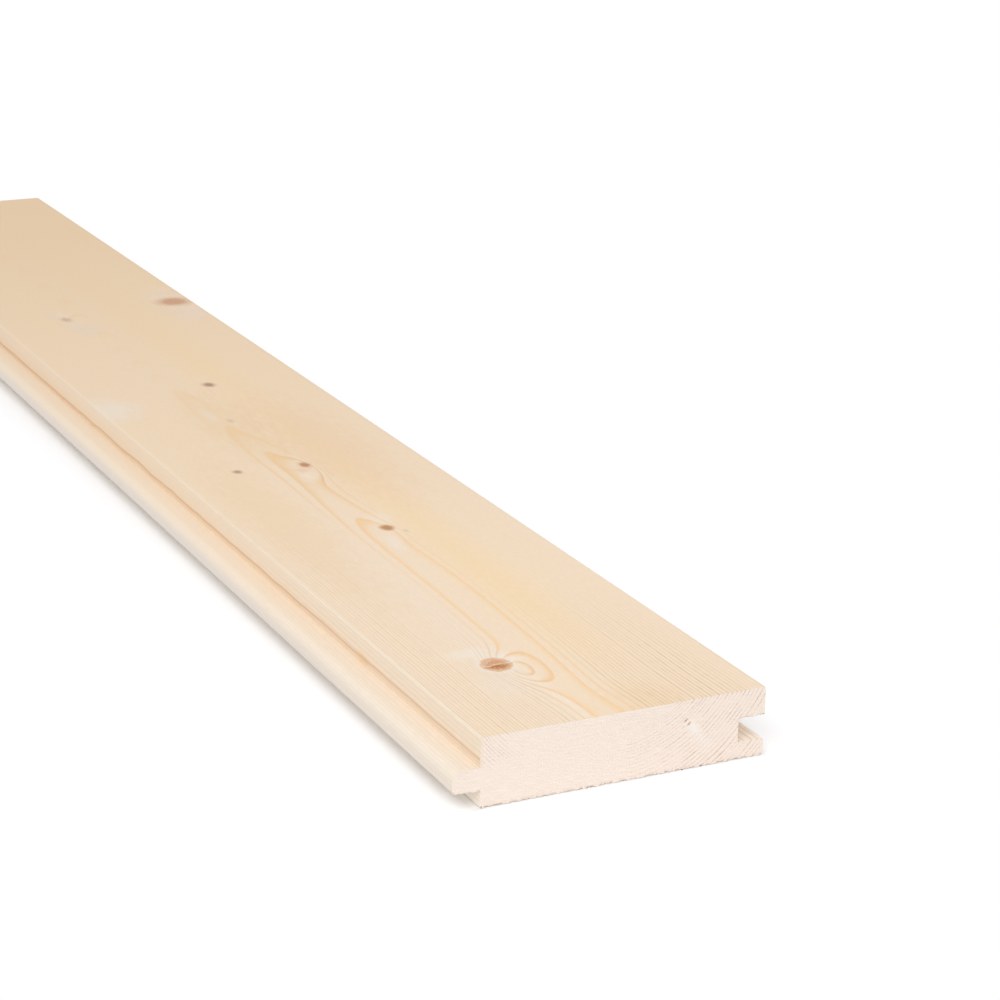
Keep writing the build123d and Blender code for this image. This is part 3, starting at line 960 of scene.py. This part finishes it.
class FLOORBOARD_OT_torn_fibres(bpy.types.Operator):
    """Models one torn fibre and hangs copies of it where the saw left both ends of the board"""

    bl_idname = "floorboard.torn_fibres"
    bl_label = "Torn fibres"

    def execute(self, context):
        section, looks = context.scene.floorboard_section, context.scene.floorboard_spruce
        bpy.ops.object.select_all(action="DESELECT")
        sliver = model_sliver(section)
        draw = random.Random(FIBRE_SEED)
        copies = []
        for end, inward in ((NEAR, 1), (FAR, -1)):
            for x, z in fibre_places(section, draw):
                copy = sliver.copy()
                copy.data = sliver.data.copy()
                context.collection.objects.link(copy)
                length = draw.uniform(0.7, 1.0)
                copy.location = (x, end + inward * (0.08 * MM + section.fibre_length / 2), z)
                facing = 0 if inward > 0 else pi
                copy.rotation_euler = (0, draw.uniform(-0.25, 0.25), draw.uniform(-0.15, 0.15) + facing)
                copy.scale = (draw.uniform(0.5, 1.2), length, draw.uniform(0.6, 1.0))
                copies.append(copy)
        bpy.data.objects.remove(sliver)
        for copy in copies:
            copy.select_set(True)
        context.view_layer.objects.active = copies[0]
        bpy.ops.object.join()
        fibres = context.object
        fibres.name = fibres.data.name = "torn_fibres"
        bpy.ops.object.transform_apply(location=True, rotation=True, scale=True)
        bpy.ops.object.shade_smooth_by_angle(angle=radians(35))
        fibres.data.materials.append(torn_fibre(looks))
        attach(fibres, BODY)
        return {"FINISHED"}


class FLOORBOARD_OT_stage(bpy.types.Operator):
    """Sets the floor, the light and the camera"""

    bl_idname = "floorboard.stage"
    bl_label = "Stage"

    def execute(self, context):
        looks = context.scene.floorboard_stage
        bpy.ops.object.select_all(action="DESELECT")
        bpy.ops.mesh.primitive_plane_add(size=8.0, location=(0, 0, LOW.z))
        floor = context.object
        floor.name = floor.data.name = "floor"
        floor.data.materials.append(floor_paint(looks))
        light_sky(context.scene, looks)
        bpy.ops.object.light_add(type="AREA", location=KEY_PLACE)
        key = context.object
        key.name = "key_light"
        key.data.shape = "DISK"
        key.data.size = KEY_SIZE
        key.data.energy = looks.key
        key.rotation_euler = (Vector((0, NEAR, 0)) - Vector(KEY_PLACE)).to_track_quat("-Z", "Y").to_euler()
        bpy.ops.object.camera_add()
        camera = context.object
        camera.data.sensor_width = 36.0
        camera.data.lens = looks.lens
        camera.data.clip_start = 0.01
        camera.matrix_world = camera_view()
        context.scene.camera = camera
        context.scene.view_settings.view_transform = "Standard"
        return {"FINISHED"}


KEY_PLACE = (-0.9, -1.5, 1.5)
KEY_SIZE = 1.6
CAMERA_PLACE = (-0.3957, -1.1706, 0.3744)
CAMERA_AZIMUTH = radians(-26.0)
CAMERA_ELEVATION = radians(18.34)
CAMERA_ROLL = radians(0.825)


def camera_view():
    """The camera's place and turn."""
    back = Vector((sin(CAMERA_AZIMUTH) * cos(CAMERA_ELEVATION), -cos(CAMERA_AZIMUTH) * cos(CAMERA_ELEVATION),
                   sin(CAMERA_ELEVATION)))
    turn = (-back).to_track_quat("-Z", "Y").to_matrix().to_4x4()
    return Matrix.Translation(CAMERA_PLACE) @ turn @ Matrix.Rotation(CAMERA_ROLL, 4, "Z")


def seen_directly(tree):
    """1 for what the camera sees, straight on or in a reflection, and 0 for light that falls on the board."""
    path = add(tree, "LightPath").node.outputs
    seen = add(tree, "Math", {0: path["Is Camera Ray"], 1: path["Is Glossy Ray"]}, operation="MAXIMUM")
    return add(tree, "Math", {0: seen, 1: path["Is Transmission Ray"]}, operation="MAXIMUM")


def floor_paint(looks):
    """Matt white paper: it takes the board's shadow close by, with a painted shadow close round the board,
    painted light in front of its near end and a painted glow under the tongue, and is plain white further
    off.
    """
    material, tree = new_material("white paper")
    at = add(tree, "TexCoord").node.outputs["Object"]
    shaded = SHOULDER - TONGUE_SHADE
    off = add(tree, "VectorMath", {0: at, 1: ((shaded + HIGH.x) / 2, 0, 0)}, operation="SUBTRACT")
    off = add(tree, "VectorMath", {0: off}, operation="ABSOLUTE")
    off = add(tree, "VectorMath", {0: off, 1: ((HIGH.x - shaded) / 2, HIGH.y, 0)}, operation="SUBTRACT")
    off = add(tree, "VectorMath", {0: off, 1: (0, 0, 0)}, operation="MAXIMUM")
    away = add(tree, "VectorMath", {0: off}, operation="LENGTH").node.outputs["Value"]
    seen = seen_directly(tree)
    parts = add(tree, "SeparateXYZ", {0: at}).node.outputs
    # Painted light: near the sawn end the floor counts as further from the board, so it is brighter there
    painted_light_ahead = zone(tree, parts, ("Y", NEAR + 2 * MM, NEAR + 22 * MM, 3 * MM, 0))
    lit = add(tree, "Math", {0: away, 1: painted_light_ahead}, operation="ADD")
    # Painted shadow: the paper's colour darkens within 1.5 mm of the board
    painted_contact_shadow = add(tree, "MapRange", {"Value": lit, 1: 0.0, 2: 1.5 * MM, 3: 0.68, 4: 1.0})
    paper = add(tree, "VectorMath", {0: looks.floor[:3], "Scale": painted_contact_shadow}, operation="SCALE")
    paper = add(tree, "BsdfDiffuse", {"Color": paper})
    near_board = add(tree, "MapRange", {"Value": lit, 1: 0.0, 2: SHADE_REACH})
    lift = add(tree, "FloatCurve", {"Value": near_board}, points=FLOOR_LIFT)
    # Painted glow: under the tongue the paper emits light that only the wood receives, which lightens it
    # there
    under_glow_share = zone(tree, parts, ("X", SHOULDER - 0.5 * MM, SHOULDER, UNDER_GLOW, 0))
    under = add(tree, "MapRange", {"Value": away, 1: 0.0, 2: 0.5 * MM, 3: under_glow_share, 4: 0.0})
    lift = add(tree, "MapRange", {"Value": seen, 3: under, 4: lift})
    glow = add(tree, "Emission", {"Color": (1, 1, 1, 1), "Strength": lift})
    paper = add(tree, "AddShader", {0: paper, 1: glow})
    open_floor = add(tree, "MapRange", {"Value": away, 1: 0.4 * SHADE_REACH, 2: SHADE_REACH},
                     interpolation_type="SMOOTHSTEP")
    strength = add(tree, "MapRange", {"Value": seen, 3: 0.85, 4: 1.01})
    white = add(tree, "Emission", {"Color": (1, 1, 1, 1), "Strength": strength})
    surface = add(tree, "MixShader", {0: open_floor, 1: paper, 2: white})
    add(tree, "OutputMaterial", {"Surface": surface})
    return material


SHADE_REACH = 30 * MM  # beyond this the floor is plain white
FLOOR_LIFT = ((0, 0.0), (0.03, 0.005), (0.07, 0.02), (0.11, 0.07), (0.17, 0.14), (0.3, 0.21), (0.43, 0.2),
              (0.63, 0.19), (1, 0.16))
TONGUE_SHADE = 2.2 * MM  # how far beyond the shoulder the floor counts as under the board, darkened by the painted shadow next to it
UNDER_GLOW = 0.5  # painted glow that the paper gives off under the tongue, unseen by the camera


def light_sky(scene, looks):
    """Even white light from all round, and a white background."""
    world = bpy.data.worlds.new("white surround")
    world.use_nodes = True
    tree = world.node_tree
    tree.nodes.clear()
    strength = add(tree, "MapRange", {"Value": seen_directly(tree), 3: looks.sky, 4: 1.01})
    sky = add(tree, "Background", {"Color": (1, 1, 1, 1), "Strength": strength})
    add(tree, "OutputWorld", {"Surface": sky})
    scene.world = world


class FLOORBOARD_PT_sidebar(bpy.types.Panel):
    """The floorboard's sizes, colours and steps"""

    bl_idname = "FLOORBOARD_PT_sidebar"
    bl_label = "Floorboard"
    bl_space_type = "VIEW_3D"
    bl_region_type = "UI"
    bl_category = "Floorboard"

    def draw(self, context):
        for name, steps in STEPS.items():
            group = getattr(context.scene, name)
            box = self.layout.box()
            for prop in group.__annotations__:
                box.prop(group, prop)
            for step in steps:
                box.operator(step)


STEPS = {
    "floorboard_section": (),
    "floorboard_spruce": ("floorboard.board", "floorboard.torn_fibres"),
    "floorboard_stage": ("floorboard.stage",),
}
GROUPS = {
    "floorboard_section": FloorboardSection,
    "floorboard_spruce": SpruceLooks,
    "floorboard_stage": StageLooks,
}
CLASSES = (*GROUPS.values(), FLOORBOARD_OT_board, FLOORBOARD_OT_torn_fibres, FLOORBOARD_OT_stage,
           FLOORBOARD_PT_sidebar)


def register():
    """Registers the classes and hangs their sizes and colours on the scene."""
    for kind in CLASSES:
        bpy.utils.register_class(kind)
    for name, group in GROUPS.items():
        setattr(bpy.types.Scene, name, PointerProperty(type=group))


def unregister():
    """Takes back what register did."""
    for name in GROUPS:
        delattr(bpy.types.Scene, name)
    for kind in reversed(CLASSES):
        bpy.utils.unregister_class(kind)


def main():
    """Models the board and its torn fibres, and sets the stage."""
    register()
    bpy.ops.floorboard.board()
    bpy.ops.floorboard.torn_fibres()
    bpy.ops.floorboard.stage()


if __name__ == "__main__":
    main()
